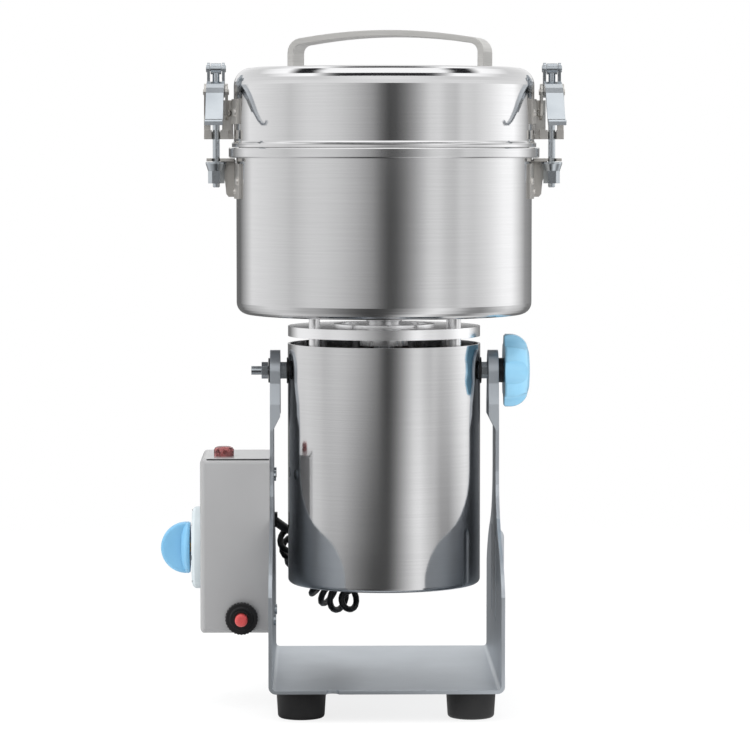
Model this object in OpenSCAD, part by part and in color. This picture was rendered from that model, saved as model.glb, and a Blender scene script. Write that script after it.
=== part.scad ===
// Tilting high-speed grain grinder: lidded bowl on a motor housing that swings in a bent stand.
// Millimetres, Z up, the feet rest on z = 0 and the front faces -Y.

/* [Stand] */
// Thickness of the bent sheet
sheet = 2.5; // [1.5:0.1:4]
// Gap between the motor housing and each leg
leg_gap = 9.7; // [9:0.1:16]
// Depth of the base plate, front to back
stand_d = 209; // [160:1:260]
// Height of the pivot axis above the table
pivot_z = 228.4; // [215:0.1:260]
// Half depth of a leg at its round top
leg_top_r = 14.1; // [11:0.1:18]
// Depth of the inward flange round the top of a leg
leg_flange = 5.8; // [3:0.1:8]
// Outer bend radius between plate and leg
bend_r = 5; // [3:0.5:8]
// Distance of each embossed rib from the middle of a leg
rib_y = 26; // [15:1:30]
// How far a rib stands out of the sheet
rib_h = 3.2; // [1:0.1:4]
// Width of a rib
rib_w = 12; // [8:0.5:18]
// Height at which the straight part of a rib starts
rib_z = 61; // [45:1:80]
// Length of the straight part of a rib
rib_l = 54; // [20:1:56]

/* [Feet] */
// Diameter of a rubber foot
foot_d = 33.5; // [20:0.5:45]
// Height of a rubber foot
foot_h = 19; // [10:0.5:30]
// Distance of a foot's middle from the side of the stand
foot_side = 21.7; // [18:0.1:40]
// Distance of a foot's middle from the front or back of the stand
foot_end = 24.5; // [18:0.5:50]

/* [Motor housing] */
// Outer diameter of the housing
housing_d = 133; // [120:0.1:150]
// Height of the housing
housing_h = 165.8; // [150:0.1:170]
// Distance of its open rim above the pivot axis
rim_up = 18.9; // [14:0.1:30]
// Wall of the housing
housing_wall = 1.5; // [1:0.1:3]
// Gap between the rim and the bearing disc
disc_gap = 5.1; // [3:0.1:10]
// Thickness of the bearing disc
disc_t = 7; // [4:0.1:9]
// Gap between the bearing disc and the bowl
bowl_gap = 8.2; // [6:0.1:14]

/* [Motor] */
// Height of the stator's and the armature's iron
iron_h = 60; // [40:1:66]
// Height of the iron above the housing's underside
iron_up = 46.5; // [40:0.5:50]
// Diameter of the armature
armature_d = 67; // [50:0.5:80]
// Gap between armature and stator
air_gap = 1; // [0.4:0.1:2]
// Diameter of the fan
fan_d = 92; // [60:1:110]
// Diameter of the commutator
commutator_d = 32; // [24:0.5:40]
// Diameter of the motor shaft
shaft_d = 10; // [8:0.5:12]

/* [Bowl and lid] */
// Outer diameter of the grinding bowl
bowl_d = 203.4; // [170:0.2:240]
// Height of the bowl up to its rim band
bowl_h = 107.4; // [90:0.1:140]
// Height of the rim band
band_h = 7; // [5:0.5:9]
// How far the rim band stands out from the bowl
band_out = 5.2; // [3:0.1:8]
// Radius round the bowl's lower edge
bowl_corner = 8; // [5:0.5:14]
// Wall of bowl and lid
bowl_wall = 1.5; // [1:0.1:3]
// How far the lid stands out from the bowl
lid_out = 1.6; // [0.5:0.1:3]
// Height of the lid above the rim band
lid_h = 54.5; // [48:0.5:70]
// Shoulder radius of the lid
lid_r = 12; // [6:0.5:16]

/* [Handle] */
// Outer length of the handle
handle_l = 138; // [100:1:150]
// Width of its strap
handle_w = 28; // [16:1:34]
// Thickness of its strap
handle_t = 4.2; // [2:0.1:6]
// Height of its crown above the lid
handle_h = 25.6; // [22:0.1:45]
// How far its left end is turned to the back
handle_turn = 15; // [0:1:45]
// How far it stands to the right of the lid's middle
handle_off = 4; // [0:0.5:8]

/* [Latches] */
// Gap between the rim band and the draw rod
rod_gap = 6.2; // [4:0.1:12]
// Height of the lever's pivot above the rim band
lever_up = 38; // [34:0.5:40]
// Height of the rod's eye above the pivot
lever_arm = 16; // [13:0.5:18]
// Diameter of the draw rod
rod_d = 4.8; // [3:0.1:5]
// How far the rod reaches below the top of its nut
rod_below = 17.4; // [15.5:0.1:24]
// How far the underside of the catch shelf lies below the rim band
shelf_drop = 2.5; // [2.4:0.1:8]

/* [Blades] */
// Gap between the lower blade's tips and the bowl's wall
blade_gap = 12; // [4:0.5:30]
// Height of the lower blade above the bowl's underside
blade_up = 17.4; // [14:0.1:30]
// Height of the upper blade above the lower one
blade_step = 16; // [10:0.5:30]
// Width of a blade
blade_w = 20; // [12:1:30]
// Thickness of a blade
blade_t = 2.5; // [1.5:0.1:4]

/* [Controls] */
// Width of the control box, outwards from the leg
box_w = 47.5; // [35:0.5:60]
// Depth of the control box
box_d = 74; // [60:1:90]
// Height of the control box
box_h = 120; // [90:1:140]
// Height of its underside above the table
box_z = 50.5; // [45:0.5:70]
// Diameter of the dial plate
dial_d = 56.6; // [40:0.1:70]
// Diameter of the timer knob's skirt
timer_d = 35.8; // [25:0.1:50]
// Diameter of the knob that locks the tilt
lock_d = 50.4; // [35:0.1:60]
// Diameter of the knurled ring round the reset button
ring_d = 22.3; // [16:0.1:28]

/* [Curly cord] */
// Diameter of the cord
cord_d = 4.4; // [3:0.1:6]
// Outer diameter of its curls
curl_d = 23.4; // [14:0.1:30]
// Number of curls
curls = 11; // [6:1:30]

/* [Hidden] */
// The row's origin is the middle of the whole outline, so the bowl's axis stands a little to the right.
axis_x = 15;
gap = 0.3;
fit = 0.05;
pin_d = 6;
housing_r = housing_d / 2;
housing_in = housing_r - housing_wall;
leg_in = housing_r + leg_gap;
leg_x = leg_in + sheet;
stand_w = 2 * leg_x;
foot_x = leg_x - foot_side;
foot_y = stand_d / 2 - foot_end;
housing_z1 = pivot_z + rim_up;
housing_z0 = housing_z1 - housing_h;
disc_z = housing_z1 + disc_gap;
disc_z1 = disc_z + disc_t;
disc_r = housing_r - 0.2;
bowl_z0 = disc_z1 + bowl_gap;
bowl_z1 = bowl_z0 + bowl_h;
bowl_r = bowl_d / 2;
band_r = bowl_r + band_out;
band_z1 = bowl_z1 + band_h;
lid_ro = bowl_r + lid_out;
lid_z0 = band_z1 + gap;
lid_z1 = band_z1 + lid_h;
latch_x = band_r + rod_gap + rod_d / 2;
lever_z = band_z1 + lever_up;
eye_z = lever_z + lever_arm;
shelf_z = bowl_z1 - shelf_drop;
nut_top = shelf_z - 0.5;
rod_z0 = nut_top - rod_below;
iron_z = housing_z0 + iron_up;
iron_z1 = iron_z + iron_h;
commutator_z = iron_z1 + 15;
fan_z = housing_z0 + 20;
coil_y = armature_d / 2 + air_gap + 6.5;
low_bearing_z = housing_z0 + 7;
top_bearing_z = disc_z - 3.7;
bearing_r = shaft_d / 2 + 6;
blade_z = bowl_z0 + blade_up;
blade_z2 = blade_z + blade_step;
blade_l = 2 * (bowl_r - bowl_wall - blade_gap);
// The posts stand on a circle just inside the housing.
post_a = 35.9;
post_d = 7.5;
post_x = (housing_in - 2 - post_d / 2) * cos(post_a);
post_y = (housing_in - 2 - post_d / 2) * sin(post_a);
box_x0 = -leg_x - box_w;
box_x1 = -leg_x;
box_z1 = box_z + box_h;
box_wall = 2.2;
dial_z = box_z + 55.1;
dial_t = 6.5;
reset_x = box_x0 + 28.2;
reset_z = box_z + 10.5;
lamp_x = box_x0 + 15.9;
lamp_y = -box_d / 2 + 21;
mains_x = box_x0 + 24;
mains_z = box_z + 29.5;
// Screws between box and leg, as distances from the leg's middle and heights.
box_spots = [[-1, box_z + 8], [1, box_z + 8], [-0.45, box_z1 - 14], [0.45, box_z1 - 14]];
box_screw_y = box_d / 2 - 9;
foot_spots = [[-1, -1], [1, -1], [-1, 1], [1, 1]];
// Ends of the curly cord, at the glands of the leg and of the motor.
gland_y = box_d / 2 - 9;
gland_z = box_z + 71.3;
cord_from = [-leg_in + 7, gland_y + 8, gland_z - 6.8];
cord_to = [-22, 30, housing_z0 - 4.5];
knob_x = leg_x + 3.8 + gap;

steel = "#c6c8ca";
sheet_grey = "#a9b6c0";
dark_steel = "#7d858c";
black = "#232427";
blue = "#8ec5e8";
pale = "#d7e4e8";
grey = "#a9a9a9";
copper = "#b06a3a";
brass = "#b8963e";

module at_axis() {
  translate([axis_x, 0, 0])
    children();
}

// Points of a quarter arc from angle a0 to a1 round a centre.
function arc(cx, cy, r, a0, a1, n = 6) =
  [for (i = [0:n]) [cx + r * cos(a0 + (a1 - a0) * i / n), cy + r * sin(a0 + (a1 - a0) * i / n)]];

function unit(v) = v / norm(v);

// A cylinder from point p to point q.
module rod_between(p, q, r) {
  d = q - p;
  l = norm(d);
  turn = atan2(d[1], d[0]);
  lean = acos(d[2] / l);
  translate(p)
    rotate([0, lean, turn])
      cylinder(h = l, r = r, $fn = 48);
}

// A cylinder along X that starts at x and is h long.
module along_x(x, h, r, fn = 64) {
  translate([x, 0, 0])
    rotate([0, 90, 0])
      cylinder(h = h, r = r, $fn = fn);
}

// A prism along X whose outline lies in the YZ plane.
module prism_x(x, h, points) {
  translate([x, 0, 0])
    rotate([90, 0, 90])
      linear_extrude(h)
        polygon(points);
}

// A ring round Z with an optional bore.
module ring(z, h, ro, ri = 0, fn = 96) {
  translate([0, 0, z])
    difference() {
      cylinder(h = h, r = ro, $fn = fn);
      if (ri > 0)
        translate([0, 0, -1])
          cylinder(h = h + 2, r = ri, $fn = fn);
    }
}

module hex(af, h, bore = 0) {
  difference() {
    cylinder(h = h, r = af / sqrt(3), $fn = 6);
    if (bore > 0)
      translate([0, 0, -1])
        cylinder(h = h + 2, r = bore, $fn = 48);
  }
}

module hex_x(x, h, af, bore = 0) {
  translate([x, 0, 0])
    rotate([0, 90, 0])
      hex(af, h, bore);
}

// Shape of a leg's front edge: share of the way from its top's half depth to the plate's,
// and share of its height.
leg_curve = [
  [1, 0.309], [0.958, 0.336], [0.862, 0.375], [0.762, 0.406], [0.668, 0.43], [0.552, 0.453],
  [0.464, 0.468], [0.329, 0.497], [0.242, 0.525], [0.168, 0.559], [0.114, 0.592], [0.082, 0.63],
  [0.069, 0.673], [0.067, 0.807], [0.049, 0.893], [0.022, 0.93], [0, 0.96]];

// Half outline of a leg, front edge only, pulled in by an inset.
function leg_edge(i) = concat(
  [[-stand_d / 2 + i, foot_h]],
  [for (c = leg_curve) [
    -leg_top_r - c[0] * (stand_d / 2 - leg_top_r) + i,
    foot_h + c[1] * (pivot_z - foot_h)]],
  [[-leg_top_r + i, pivot_z]]);

function mirror_y(points) = [for (i = [len(points) - 1:-1:0]) [-points[i][0], points[i][1]]];

module leg_profile(i = 0) {
  polygon(concat(leg_edge(i), mirror_y(leg_edge(i))));
  translate([0, pivot_z])
    circle(r = leg_top_r - i, $fn = 96);
}

// The leg profile as a solid between two X values.
module leg_slab(x, h, i = 0) {
  translate([x, 0, 0])
    rotate([90, 0, 90])
      linear_extrude(h)
        leg_profile(i);
}

module bent_u() {
  rotate([90, 0, 0])
    translate([0, 0, -stand_d / 2])
      linear_extrude(stand_d)
        difference() {
          polygon(concat(
            arc(-leg_x + bend_r, foot_h + bend_r, bend_r, 180, 270),
            arc(leg_x - bend_r, foot_h + bend_r, bend_r, 270, 360),
            [[leg_x, pivot_z + 40], [-leg_x, pivot_z + 40]]));
          polygon(concat(
            arc(-leg_x + bend_r, foot_h + bend_r, bend_r - sheet, 180, 270),
            arc(leg_x - bend_r, foot_h + bend_r, bend_r - sheet, 270, 360),
            [[leg_in, pivot_z + 50], [-leg_in, pivot_z + 50]]));
        }
}

// Inward flange round the top of a leg, tapered off below.
module leg_rim() {
  intersection() {
    difference() {
      leg_slab(leg_x - leg_flange - sheet / 2, leg_flange);
      leg_slab(leg_x - leg_flange - sheet, leg_flange + sheet, sheet);
    }
    rotate([90, 0, 0])
      translate([0, 0, -60])
        linear_extrude(120)
          polygon([
            [leg_x, pivot_z - 44.4],
            [leg_x - leg_flange - sheet, pivot_z - 28.4],
            [leg_x - leg_flange - sheet, pivot_z + 40],
            [leg_x, pivot_z + 40]]);
  }
}

module rib_form(r) {
  x = leg_x + rib_h - (rib_w * rib_w / 4 + rib_h * rib_h) / (2 * rib_h);
  for (s = [-1, 1])
    translate([x, s * rib_y, 0]) {
      translate([0, 0, rib_z])
        cylinder(h = rib_l, r = r, $fn = 64);
      for (z = [rib_z, rib_z + rib_l])
        translate([0, 0, z])
          sphere(r = r, $fn = 48);
    }
}

module stand() {
  rib_r = (rib_w * rib_w / 4 + rib_h * rib_h) / (2 * rib_h);
  color(sheet_grey)
    at_axis()
      difference() {
        union() {
          intersection() {
            bent_u();
            leg_slab(-leg_x - 1, stand_w + 2);
          }
          for (s = [0, 1])
            mirror([s, 0, 0])
              leg_rim();
          intersection() {
            rib_form(rib_r);
            translate([leg_in + 0.2, -60, 0])
              cube([20, 120, pivot_z]);
          }
        }
        intersection() {
          rib_form(rib_r - sheet);
          translate([leg_in - 5, -60, 0])
            cube([20, 120, pivot_z]);
        }
        translate([0, 0, pivot_z])
          along_x(-leg_x - 5, stand_w + 10, 5);
        for (f = foot_spots)
          translate([f[0] * foot_x, f[1] * foot_y, foot_h - 1])
            cylinder(h = 2.6, r = 2.6, $fn = 32);
        translate([0, gland_y, gland_z])
          along_x(-leg_x - 5, 10, 5.5);
        for (b = box_spots)
          translate([0, b[0] * box_screw_y, b[1]])
            along_x(-leg_x - 5, 10, 2.1);
        translate([-36, -stand_d / 2, foot_h - 1])
          cylinder(h = 6, r = 4.1, $fn = 48);
      }
}

module feet() {
  color(black)
    at_axis()
      for (f = foot_spots)
        translate([f[0] * foot_x, f[1] * foot_y, 0])
          rotate_extrude($fn = 96)
            polygon(concat(
              [[2.6, 5], [6, 5], [6, 0], [foot_d / 2 - 3.2, 0]],
              arc(foot_d / 2 - 3.2, 2.2, 2.2, -90, 0, 4),
              [[foot_d / 2, foot_h - 0.6], [foot_d / 2 - 0.6, foot_h], [2.6, foot_h]]));
}

module foot_screws() {
  color(steel)
    at_axis()
      for (f = foot_spots)
        translate([f[0] * foot_x, f[1] * foot_y, 0]) {
          translate([0, 0, 1.6])
            cylinder(h = 3.4, r = 4.5, $fn = 48);
          translate([0, 0, 4])
            cylinder(h = foot_h - 2.5, r = 2.5, $fn = 48);
        }
}

// A box with its edges rounded along all three directions.
module soft_box(x, y, z, r) {
  intersection() {
    linear_extrude(z)
      round_rect(x, y, r);
    translate([0, y, 0])
      rotate([90, 0, 0])
        linear_extrude(y)
          round_rect(x, z, r);
    rotate([90, 0, 90])
      linear_extrude(x)
        round_rect(y, z, r);
  }
}

module round_rect(x, y, r) {
  polygon(concat(
    arc(r, r, r, 180, 270),
    arc(x - r, r, r, 270, 360),
    arc(x - r, y - r, r, 0, 90),
    arc(r, y - r, r, 90, 180)));
}

module control_box() {
  wall = box_wall;
  color(grey)
    at_axis()
      difference() {
        translate([box_x0, -box_d / 2, box_z])
          soft_box(box_w + 10, box_d, box_h, 3.5);
        translate([box_x0 + wall, -box_d / 2 + wall, box_z + wall])
          soft_box(box_w - 2 * wall, box_d - 2 * wall, box_h - 2 * wall, 2.5);
        translate([box_x1, -100, 0])
          cube([60, 200, 300]);
        for (b = box_spots)
          translate([0, b[0] * box_screw_y, b[1]])
            along_x(-leg_x - 5, 10, 2.1);
        translate([0, gland_y, gland_z])
          along_x(-leg_x - 4, 10, 5.5);
        translate([0, 0, dial_z])
          along_x(box_x0 - 5, 12, 9);
        translate([lamp_x, lamp_y, box_z1 - 8])
          cylinder(h = 20, r = 5, $fn = 48);
        translate([reset_x, -box_d / 2 - 5, reset_z])
          rotate([-90, 0, 0])
            cylinder(h = 12, r = 6.2, $fn = 48);
        translate([mains_x, box_d / 2 - 6, mains_z])
          rotate([-90, 0, 0])
            cylinder(h = 12, r = 5.5, $fn = 48);
      }
}

// Screws with square nuts that hold the control box to the leg.
module box_screws() {
  color(steel)
    at_axis()
      for (b = box_spots)
        translate([0, b[0] * box_screw_y, b[1]]) {
          along_x(-leg_x - 8, 8 + sheet, 2, 32);
          along_x(-leg_in, 1.6, 3.6, 32);
          translate([-leg_x - box_wall - 3.6, -4, -4])
            cube([3.4, 8, 8]);
        }
}

module dial_plate() {
  color(pale)
    at_axis()
      translate([0, 0, dial_z])
        rotate([0, -90, 0])
          translate([0, 0, -box_x0])
            difference() {
              rotate_extrude($fn = 128)
                polygon([
                  [3.4, 0],
                  [dial_d / 2, 0],
                  [dial_d / 2, dial_t - 2.2],
                  [dial_d / 2 - 1.4, dial_t - 0.5],
                  [dial_d / 2 - 3, dial_t],
                  [3.4, dial_t]]);
              for (i = [0:11])
                rotate([0, 0, i * 30])
                  translate([dial_d / 2 - 4.6, 0, dial_t - 0.6])
                    cylinder(h = 2, r = 0.9, $fn = 24);
            }
}

// Clockwork timer behind the dial, with the bearing for its knob's shaft.
module timer_body() {
  color(dark_steel)
    at_axis()
      translate([0, 0, dial_z]) {
        difference() {
          union() {
            translate([box_x0 + box_wall, -24, -22])
              cube([26, 48, 44]);
            along_x(box_x0, 5, 8.8);
          }
          along_x(box_x0 - 3, 20, 3 + fit);
        }
        for (s = [-1, 1])
          translate([box_x0 + 28.2, s * 10 - 2, -18])
            cube([6, 4, 1]);
      }
}

module timer_shaft() {
  color(brass)
    at_axis()
      translate([0, 0, dial_z])
        along_x(box_x0 - dial_t - 14, dial_t + 14 + 14, 3);
}

// Skirted knob with a raised half-round grip.
module timer_knob() {
  x0 = box_x0 - dial_t - 1.5;
  color(blue)
    at_axis()
      translate([0, 0, dial_z])
        difference() {
          union() {
            translate([x0, 0, 0])
              rotate([0, -90, 0])
                rotate_extrude($fn = 128)
                  polygon(concat(
                    [[0, 0], [timer_d / 2 - 0.6, 0]],
                    arc(timer_d / 2 - 1.6, 1.6, 1.6, -45, 60, 4),
                    [[timer_d / 2 - 3.4, 4.6], [10, 6], [0, 6]]));
            intersection() {
              translate([x0 - 2.6, 0, 0])
                rotate([90, 0, 0])
                  rotate_extrude($fn = 128)
                    polygon(concat(
                      [[0, -4.2]],
                      arc(timer_d / 2 - 2.2, -2.2, 2, -90, 0, 3),
                      arc(timer_d / 2 - 2.2, 2.2, 2, 0, 90, 3),
                      [[0, 4.2]]));
              translate([x0 - 2.6 - 30, -10, -30])
                cube([30, 20, 60]);
            }
          }
          along_x(x0 - 13, 30, 3.0);
        }
}

module lamp_body() {
  color(black)
    at_axis()
      translate([lamp_x, lamp_y, 0]) {
        translate([0, 0, box_z1 - 16])
          cylinder(h = 16, r = 4.8, $fn = 48);
        translate([0, 0, box_z1 - 6])
          hex(13, 3.5);
        translate([0, 0, box_z1 - 20])
          cylinder(h = 4, r = 1, $fn = 24);
      }
}

module lamp_lens() {
  color("#8a2a2a")
    at_axis()
      translate([lamp_x, lamp_y, box_z1])
        difference() {
          rotate_extrude($fn = 96)
            polygon([[0, 0], [6.9, 0], [6.9, 4.4], [6.1, 5.8], [4.6, 6.5], [0, 6.5]]);
          for (i = [0:17])
            rotate([0, 0, i * 20])
              translate([7.3, 0, 0.8])
                cylinder(h = 8, r = 0.8, $fn = 20);
        }
}

// Places its child on the front of the box with Z pointing forward.
module at_reset() {
  at_axis()
    translate([reset_x, -box_d / 2, reset_z])
      rotate([90, 0, 0])
        children();
}

module breaker_body() {
  color(dark_steel)
    at_reset() {
      difference() {
        translate([0, 0, -8])
          cylinder(h = 15.5, r = 6.1, $fn = 96);
        translate([0, 0, -7])
          cylinder(h = 20, r = 4.3 + 0.3, $fn = 96);
      }
      translate([-9, -8, -36])
        cube([18, 16, 28]);
      for (s = [-1, 1])
        translate([s * 5 - 0.4, -3, -43])
          cube([0.8, 6, 8]);
    }
}

module breaker_ring() {
  color(black)
    at_reset()
      difference() {
        rotate_extrude($fn = 96)
          polygon([
            [6.1, 0], [ring_d / 2, 0], [ring_d / 2, 3.4],
            [ring_d / 2 - 0.8, 4.2], [8.4, 4.2], [7.6, 5.2], [6.1, 5.2]]);
        for (i = [0:29])
          rotate([0, 0, i * 12])
            translate([ring_d / 2 + 0.35, 0, -1])
              cylinder(h = 8, r = 0.8, $fn = 16);
      }
}

module reset_button() {
  color("#d94a4a")
    at_reset()
      translate([0, 0, -3])
        rotate_extrude($fn = 96)
          polygon([[0, 0], [4.3, 0], [4.3, 15.6], [3.6, 16.6], [2.4, 17], [0, 17]]);
}

// Strain relief where the curly cord leaves the control box through the leg.
module cord_gland() {
  p = cord_from;
  d = unit(cord_route[1] - cord_route[0]);
  color(black)
    at_axis()
      difference() {
        union() {
          translate([0, gland_y, gland_z])
            along_x(-leg_x - box_wall - 4, box_wall + 8.5, 5.4);
          translate([0, gland_y, gland_z])
            along_x(-leg_x - box_wall - 4, 3, 6);
          difference() {
            rod_between(p - 11 * d, p, 3.2);
            translate([-leg_in - 60 + gap, gland_y - 50, gland_z - 50])
              cube([60, 100, 100]);
          }
        }
        translate(p)
          rotate([0, acos(d[2]), atan2(d[1], d[0])])
            cylinder(h = 20, r = 20, $fn = 24);
      }
}

module motor_gland() {
  p = cord_to;
  color(black)
    at_axis()
      difference() {
        union() {
          translate([p[0], p[1], p[2]])
            cylinder(h = housing_z0 - p[2] + 3, r = 4.4, $fn = 64);
          translate([p[0], p[1], housing_z0 - 2.2])
            cylinder(h = 2.2, r = 7, $fn = 64);
          translate([p[0], p[1], housing_z0 + housing_wall])
            hex(13, 3);
        }
      }
}

// Inlet where the mains lead enters the back of the control box.
module mains_gland() {
  color(black)
    at_axis()
      translate([mains_x, box_d / 2, mains_z])
        rotate([-90, 0, 0])
          difference() {
            union() {
              translate([0, 0, -8])
                cylinder(h = 20, r = 5.3, $fn = 64);
              cylinder(h = 3, r = 9, $fn = 64);
              translate([0, 0, -5.2])
                hex(15, 3);
            }
            translate([0, 0, -10])
              cylinder(h = 40, r = 3.5, $fn = 64);
          }
}

module terminal_block() {
  color("#e8e6df")
    at_axis()
      difference() {
        translate([-leg_x - box_wall - 13.8, -16, box_z + 80])
          cube([13.6, 32, 16]);
        for (i = [0:2])
          translate([-leg_x - box_wall - 7, -16 + 6 + i * 10, box_z + 72])
            cylinder(h = 30, r = 2, $fn = 24);
      }
}

// Flanged plastic bushes in the tops of the legs, in which the studs turn.
module leg_bushes() {
  color(dark_steel)
    at_axis()
      translate([0, 0, pivot_z])
        difference() {
          union() {
            along_x(leg_in, sheet, 5);
            along_x(leg_x, 3.8, 8.5);
            along_x(-leg_x, sheet, 5);
            along_x(-leg_x - 1.2, 1.2, 8.5);
          }
          along_x(-leg_x - 9, stand_w + 18, pin_d / 2 + fit);
        }
}

module housing() {
  r = housing_r;
  w = housing_wall;
  color(steel)
    at_axis()
      difference() {
        rotate_extrude($fn = 180)
          polygon(concat(
            [[12, housing_z0]],
            arc(r - 3, housing_z0 + 3, 3, -90, 0, 4),
            [[r, housing_z1], [r - w, housing_z1]],
            arc(r - 3, housing_z0 + 3, 3 - w, 0, -90, 3),
            [[12, housing_z0 + w]]));
        translate([0, 0, pivot_z])
          along_x(-housing_r - 10, housing_d + 20, pin_d / 2);
        translate([cord_to[0], cord_to[1], housing_z0 - 1])
          cylinder(h = 4, r = 4.4, $fn = 64);
        for (i = [0:23])
          rotate([0, 0, i * 15 + 7.5])
            translate([housing_r - 21.3, -1.5, housing_z0 - 1])
              cube([12, 3, 4]);
      }
}

// Lower end bracket with four arms and the seat of the lower bearing.
module lower_bracket() {
  color(steel)
    at_axis()
      difference() {
        union() {
          ring(low_bearing_z + 3, 4, housing_in, housing_in - 8);
          ring(low_bearing_z - 1, 12, bearing_r + 5, bearing_r);
          for (i = [0:3])
            rotate([0, 0, i * 90 + 10])
              translate([bearing_r + 3, -6, low_bearing_z + 3])
                cube([housing_in - bearing_r - 7, 12, 4]);
        }
        translate([0, 0, low_bearing_z - 9])
          cylinder(h = 40, r = bearing_r, $fn = 96);
      }
}

module bearings() {
  color(steel)
    at_axis() {
      ring(low_bearing_z, 7, bearing_r, shaft_d / 2 + fit);
      ring(top_bearing_z, 7, bearing_r, shaft_d / 2 + fit);
    }
}

module stator() {
  color(dark_steel)
    at_axis()
      difference() {
        ring(iron_z, iron_h, housing_in, armature_d / 2 + air_gap);
        for (s = [0, 1])
          rotate([0, 0, 180 * s])
            translate([-18, coil_y, iron_z - 8])
              cube([36, 12, iron_h + 20]);
      }
}

// Two field coils, as blocks that fill the stator's slots and stand out above and below.
module field_coils() {
  color(copper)
    at_axis()
      for (s = [0, 1])
        rotate([0, 0, 180 * s])
          translate([-18, coil_y, iron_z - 9])
            cube([36, 12, iron_h + 18]);
}

module brush_holders() {
  color(brass)
    at_axis()
      for (s = [0, 1])
        rotate([0, 0, 180 * s])
          translate([commutator_d / 2 + 2, -5.5, commutator_z + 3])
            difference() {
              cube([32, 11, 14]);
              translate([-1, 2.5, 3.5])
                cube([34, 6, 7]);
            }
}

module brushes() {
  color(black)
    at_axis()
      for (s = [0, 1])
        rotate([0, 0, 180 * s])
          translate([commutator_d / 2 + gap, -3, commutator_z + 6.5])
            cube([28.4, 6, 7]);
}

module top_disc() {
  color(steel)
    at_axis()
      difference() {
        union() {
          ring(disc_z, disc_t, disc_r);
          ring(disc_z - 6.7, 6.7, bearing_r + 6);
          ring(disc_z1 - 0.5, 2, 35, 30);
          ring(disc_z1 - 0.5, 1.6, 20, bearing_r);
        }
        translate([0, 0, top_bearing_z - 10])
          cylinder(h = 17, r = bearing_r, $fn = 96);
        translate([0, 0, top_bearing_z - 10])
          cylinder(h = 40, r = shaft_d / 2 + 1, $fn = 96);
        for (f = foot_spots)
          translate([f[0] * post_x, f[1] * post_y, disc_z - 1])
            cylinder(h = 20, r = post_d / 2, $fn = 64);
      }
}

module posts() {
  color(steel)
    at_axis()
      for (f = foot_spots)
        translate([f[0] * post_x, f[1] * post_y, iron_z1])
          cylinder(h = bowl_z0 - iron_z1, r = post_d / 2, $fn = 64);
}

module hub() {
  color(steel)
    at_axis()
      difference() {
        union() {
          ring(disc_z1, bowl_z0 - disc_z1, 11);
          ring(disc_z1 + bowl_gap / 2 - 0.8, 1.6, 12.4);
        }
        translate([0, 0, disc_z1 - 5])
          cylinder(h = bowl_gap + 10, r = shaft_d / 2 + 1, $fn = 96);
      }
}

module bowl() {
  r = bowl_r;
  w = bowl_wall;
  color(steel)
    at_axis()
      rotate_extrude($fn = 180)
        polygon(concat(
          [[shaft_d / 2 + 1, bowl_z0]],
          arc(r - bowl_corner, bowl_z0 + bowl_corner, bowl_corner, -90, 0, 6),
          [[r, bowl_z1]],
          arc(band_r - 0.8, bowl_z1 + 0.8, 0.8, -90, 0, 2),
          arc(band_r - 0.8, band_z1 - 0.8, 0.8, 0, 90, 2),
          [[r - w, band_z1]],
          arc(r - bowl_corner, bowl_z0 + bowl_corner, bowl_corner - w, 0, -90, 6),
          [[shaft_d / 2 + 1, bowl_z0 + w]]));
}

module bowl_seal() {
  color(black)
    at_axis()
      difference() {
        union() {
          ring(bowl_z0 + bowl_wall, 5, 15);
          ring(bowl_z0 + bowl_wall + 5, 3, 10);
        }
        translate([0, 0, bowl_z0 - 5])
          cylinder(h = 40, r = shaft_d / 2 + fit, $fn = 96);
      }
}

module pivot_studs() {
  color(steel)
    at_axis()
      translate([0, 0, pivot_z]) {
        along_x(housing_in - 5.8, knob_x + 12.4 - housing_in + 5.8, pin_d / 2);
        along_x(housing_in - 4, 3.4, 6);
        along_x(-leg_x - 13, leg_x + 13 - housing_in + 5.8, pin_d / 2);
        along_x(-housing_in + 0.6, 3.4, 6);
      }
}

module pivot_nuts() {
  color(steel)
    at_axis()
      translate([0, 0, pivot_z]) {
        hex_x(housing_r + 0.7, 4.7, 10, pin_d / 2);
        hex_x(-housing_r - 5.4, 4.7, 10, pin_d / 2);
        hex_x(-leg_x - 1.2 - gap - 4.4, 4.4, 10, pin_d / 2);
      }
}

// Spacers between the housing's nuts and the legs.
module pivot_spacers() {
  color(dark_steel)
    at_axis()
      translate([0, 0, pivot_z])
        difference() {
          union() {
            along_x(housing_r + 5.4, leg_gap - gap - 5.4, 6.5);
            along_x(-leg_in + gap, leg_gap - gap - 5.4, 6.5);
            along_x(housing_r - 0.6, 1.3, 9);
            along_x(-housing_r - 0.7, 1.3, 9);
          }
          along_x(-leg_x - 10, stand_w + 20, pin_d / 2);
          translate([0, 0, -20])
            cylinder(h = 40, r = housing_r, $fn = 180);
        }
}

// Mirrors its child to one side, with X measured outwards from the axis.
module on_side(s) {
  at_axis()
    mirror([s < 0 ? 1 : 0, 0, 0])
      children();
}

// Part of a sleeve round the bowl's axis between two angles.
module sleeve(z, h, ri, ro, a0, a1) {
  rotate([0, 0, a0])
    rotate_extrude(angle = a1 - a0, $fn = 180)
      translate([ri, z])
        square([ro - ri, h]);
}

module radial_head(angle, r, z, head_r, head_h) {
  rotate([0, 0, angle])
    translate([r, 0, z])
      rotate([0, 90, 0])
        cylinder(h = head_h, r1 = head_r, r2 = head_r * 0.75, $fn = 40);
}

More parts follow.
